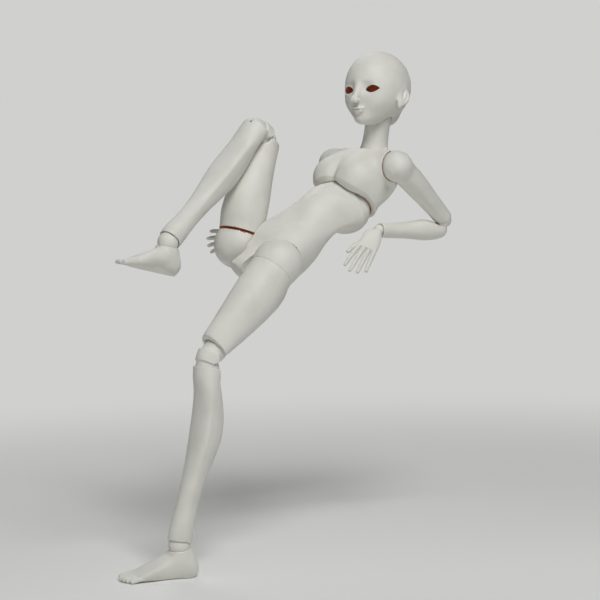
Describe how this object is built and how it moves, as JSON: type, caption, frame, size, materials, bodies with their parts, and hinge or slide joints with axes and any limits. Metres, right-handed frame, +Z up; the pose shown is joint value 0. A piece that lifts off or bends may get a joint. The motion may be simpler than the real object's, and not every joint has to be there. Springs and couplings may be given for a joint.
{
  "type": "ball jointed doll",
  "caption": "Ball jointed doll of bald ivory resin, reclining with one knee drawn up, strung on elastic",
  "frame": {"origin": "on the floor, under the middle of the doll's bounding box", "axes": "+Z up, the camera of the picture looks along +Y, +X to the camera's right"},
  "size_m": [0.3736, 0.3232, 0.5568],
  "materials": {
    "resin": "matte cast resin, ivory white, slightly translucent",
    "elastic": "woven round elastic cord",
    "steel": "bent wire and plated magnets"
  },
  "bodies": {
    "lower_torso": {"lower_torso": "resin", "torso_elastic": "elastic"},
    "chest": {"chest": "resin", "chest_elastic": "elastic", "shoulder_elastic": "elastic"},
    "neck": {"neck": "resin", "neck_elastic": "elastic"},
    "head": {"head": "resin", "head_magnet": "steel", "neck_hook": "steel"},
    "head_cap": {"head_cap": "resin", "cap_magnet": "steel"},
    "left_upper_arm": {"left_upper_arm": "resin", "left_upper_arm_elastic": "elastic"},
    "left_elbow": {"left_elbow": "resin"},
    "left_forearm": {"left_forearm": "resin", "left_forearm_elastic": "elastic"},
    "left_wrist": {"left_wrist": "resin"},
    "left_hand": {"left_hand": "resin", "left_wrist_hook": "steel"},
    "left_thigh_ball": {"left_thigh_ball": "resin"},
    "left_thigh": {"left_thigh": "resin", "left_thigh_elastic": "elastic"},
    "left_knee": {"left_knee": "resin"},
    "left_shin": {"left_shin": "resin", "left_shin_elastic": "elastic"},
    "left_ankle": {"left_ankle": "resin"},
    "left_foot": {"left_foot": "resin", "left_foot_hook": "steel"},
    "right_upper_arm": {"right_upper_arm": "resin", "right_upper_arm_elastic": "elastic"},
    "right_elbow": {"right_elbow": "resin"},
    "right_forearm": {"right_forearm": "resin", "right_forearm_elastic": "elastic"},
    "right_wrist": {"right_wrist": "resin"},
    "right_hand": {"right_hand": "resin", "right_wrist_hook": "steel"},
    "right_thigh_ball": {"right_thigh_ball": "resin"},
    "right_thigh": {"right_thigh": "resin", "right_thigh_elastic": "elastic"},
    "right_knee": {"right_knee": "resin"},
    "right_shin": {"right_shin": "resin", "right_shin_elastic": "elastic"},
    "right_ankle": {"right_ankle": "resin"},
    "right_foot": {"right_foot": "resin", "right_foot_hook": "steel"}
  },
  "joints": [
    {"name": "waist_bend", "type": "hinge", "parent": "lower_torso", "child": "chest", "pos_m": [0.06061, 0.04641, 0.37861], "axis": [0.5704, -0.7844, -0.2436], "range_deg": [-18, 0]},
    {"name": "neck_tilt", "type": "hinge", "parent": "chest", "child": "neck", "pos_m": [0.09794, 0.0748, 0.44208], "axis": [0.656, -0.7531, -0.0491], "range_deg": [-30, 2]},
    {"name": "head_turn", "type": "hinge", "parent": "neck", "child": "head", "pos_m": [0.10359, 0.07174, 0.47954], "axis": [0.1486, -0.0804, 0.9856], "range_deg": [-60, 60]},
    {"name": "cap_slide", "type": "slide", "parent": "head", "child": "head_cap", "axis": [0.573, 0.819, -0.0299], "range_m": [0, 0.04]},
    {"name": "left_shoulder_swing", "type": "hinge", "parent": "chest", "child": "left_upper_arm", "pos_m": [0.12128, 0.0265, 0.42547], "axis": [0.3781, 0.2717, 0.885], "range_deg": [-50, 0]},
    {"name": "left_elbow_upper", "type": "hinge", "parent": "left_upper_arm", "child": "left_elbow", "pos_m": [0.1775, 0.08555, 0.36253], "axis": [0.5498, -0.7954, -0.255], "range_deg": [-3, 71]},
    {"name": "left_elbow_lower", "type": "hinge", "parent": "left_elbow", "child": "left_forearm", "pos_m": [0.17198, 0.0855, 0.35076], "axis": [0.5498, -0.7954, -0.255], "range_deg": [-3, 71]},
    {"name": "left_wrist_flex", "type": "hinge", "parent": "left_forearm", "child": "left_wrist", "pos_m": [0.10007, 0.03485, 0.35373], "axis": [0.5498, -0.7954, -0.255], "range_deg": [-20, 2]},
    {"name": "left_hand_turn", "type": "hinge", "parent": "left_wrist", "child": "left_hand", "pos_m": [0.10007, 0.03485, 0.35373], "axis": [0.4307, 0.7121, 0.5544], "range_deg": [-45, 60]},
    {"name": "left_hip_swing", "type": "hinge", "parent": "lower_torso", "child": "left_thigh_ball", "pos_m": [-0.01471, -0.04062, 0.32242], "axis": [0.5704, -0.7844, -0.2436], "range_deg": [-72, 0]},
    {"name": "left_thigh_swivel", "type": "hinge", "parent": "left_thigh_ball", "child": "left_thigh", "pos_m": [-0.01471, -0.04062, 0.32242], "axis": [0.5457, 0.4513, 0.706], "range_deg": [-40, 25]},
    {"name": "left_knee_upper", "type": "hinge", "parent": "left_thigh", "child": "left_knee", "pos_m": [-0.08238, -0.09658, 0.23487], "axis": [0.6242, -0.7811, 0.0168], "range_deg": [-15, 58]},
    {"name": "left_knee_lower", "type": "hinge", "parent": "left_knee", "child": "left_shin", "pos_m": [-0.09061, -0.10357, 0.2157], "axis": [0.6242, -0.7811, 0.0168], "range_deg": [-15, 58]},
    {"name": "left_ankle_flex", "type": "hinge", "parent": "left_shin", "child": "left_ankle", "pos_m": [-0.12307, -0.1334, 0.035], "axis": [0.6242, -0.7811, 0.0168], "range_deg": [-35, 28]},
    {"name": "left_foot_turn", "type": "hinge", "parent": "left_ankle", "child": "left_foot", "pos_m": [-0.12307, -0.1334, 0.035], "axis": [0, 0, 1], "range_deg": [-45, 45]},
    {"name": "right_shoulder_swing", "type": "hinge", "parent": "chest", "child": "right_upper_arm", "pos_m": [0.05239, 0.10558, 0.43062], "axis": [0.656, -0.7531, -0.0491], "range_deg": [-3, 30]},
    {"name": "right_elbow_upper", "type": "hinge", "parent": "right_upper_arm", "child": "right_elbow", "pos_m": [0.02755, 0.15181, 0.34199], "axis": [0.5746, -0.6485, -0.4993], "range_deg": [0, 51]},
    {"name": "right_elbow_lower", "type": "hinge", "parent": "right_elbow", "child": "right_forearm", "pos_m": [0.01758, 0.14903, 0.33412], "axis": [0.5746, -0.6485, -0.4993], "range_deg": [0, 51]},
    {"name": "right_wrist_flex", "type": "hinge", "parent": "right_forearm", "child": "right_wrist", "pos_m": [-0.04354, 0.08664, 0.34483], "axis": [0.5746, -0.6485, -0.4993], "range_deg": [-2, 30]},
    {"name": "right_hand_turn", "type": "hinge", "parent": "right_wrist", "child": "right_hand", "pos_m": [-0.04354, 0.08664, 0.34483], "axis": [0.8521, 0.5228, -0.0221], "range_deg": [-40, 2]},
    {"name": "right_hip_swing", "type": "hinge", "parent": "lower_torso", "child": "right_thigh_ball", "pos_m": [-0.0592, 0.02057, 0.34142], "axis": [0.5704, -0.7844, -0.2436], "range_deg": [0, 40]},
    {"name": "right_thigh_swivel", "type": "hinge", "parent": "right_thigh_ball", "child": "right_thigh", "pos_m": [-0.0592, 0.02057, 0.34142], "axis": [-0.2622, -0.2296, -0.9373], "range_deg": [-30, 25]},
    {"name": "right_knee_upper", "type": "hinge", "parent": "right_thigh", "child": "right_knee", "pos_m": [-0.02668, 0.04903, 0.45764], "axis": [0.7897, -0.6094, -0.0717], "range_deg": [-75, 0]},
    {"name": "right_knee_lower", "type": "hinge", "parent": "right_knee", "child": "right_shin", "pos_m": [-0.03701, 0.03418, 0.47016], "axis": [0.7897, -0.6094, -0.0717], "range_deg": [-75, 0]},
    {"name": "right_ankle_flex", "type": "hinge", "parent": "right_shin", "child": "right_ankle", "pos_m": [-0.13038, -0.07267, 0.34991], "axis": [0.7897, -0.6094, -0.0717], "range_deg": [-35, 4]},
    {"name": "right_foot_turn", "type": "hinge", "parent": "right_ankle", "child": "right_foot", "pos_m": [-0.13038, -0.07267, 0.34991], "axis": [0.2283, 0.0902, 0.9694], "range_deg": [-45, 45]}
  ]
}
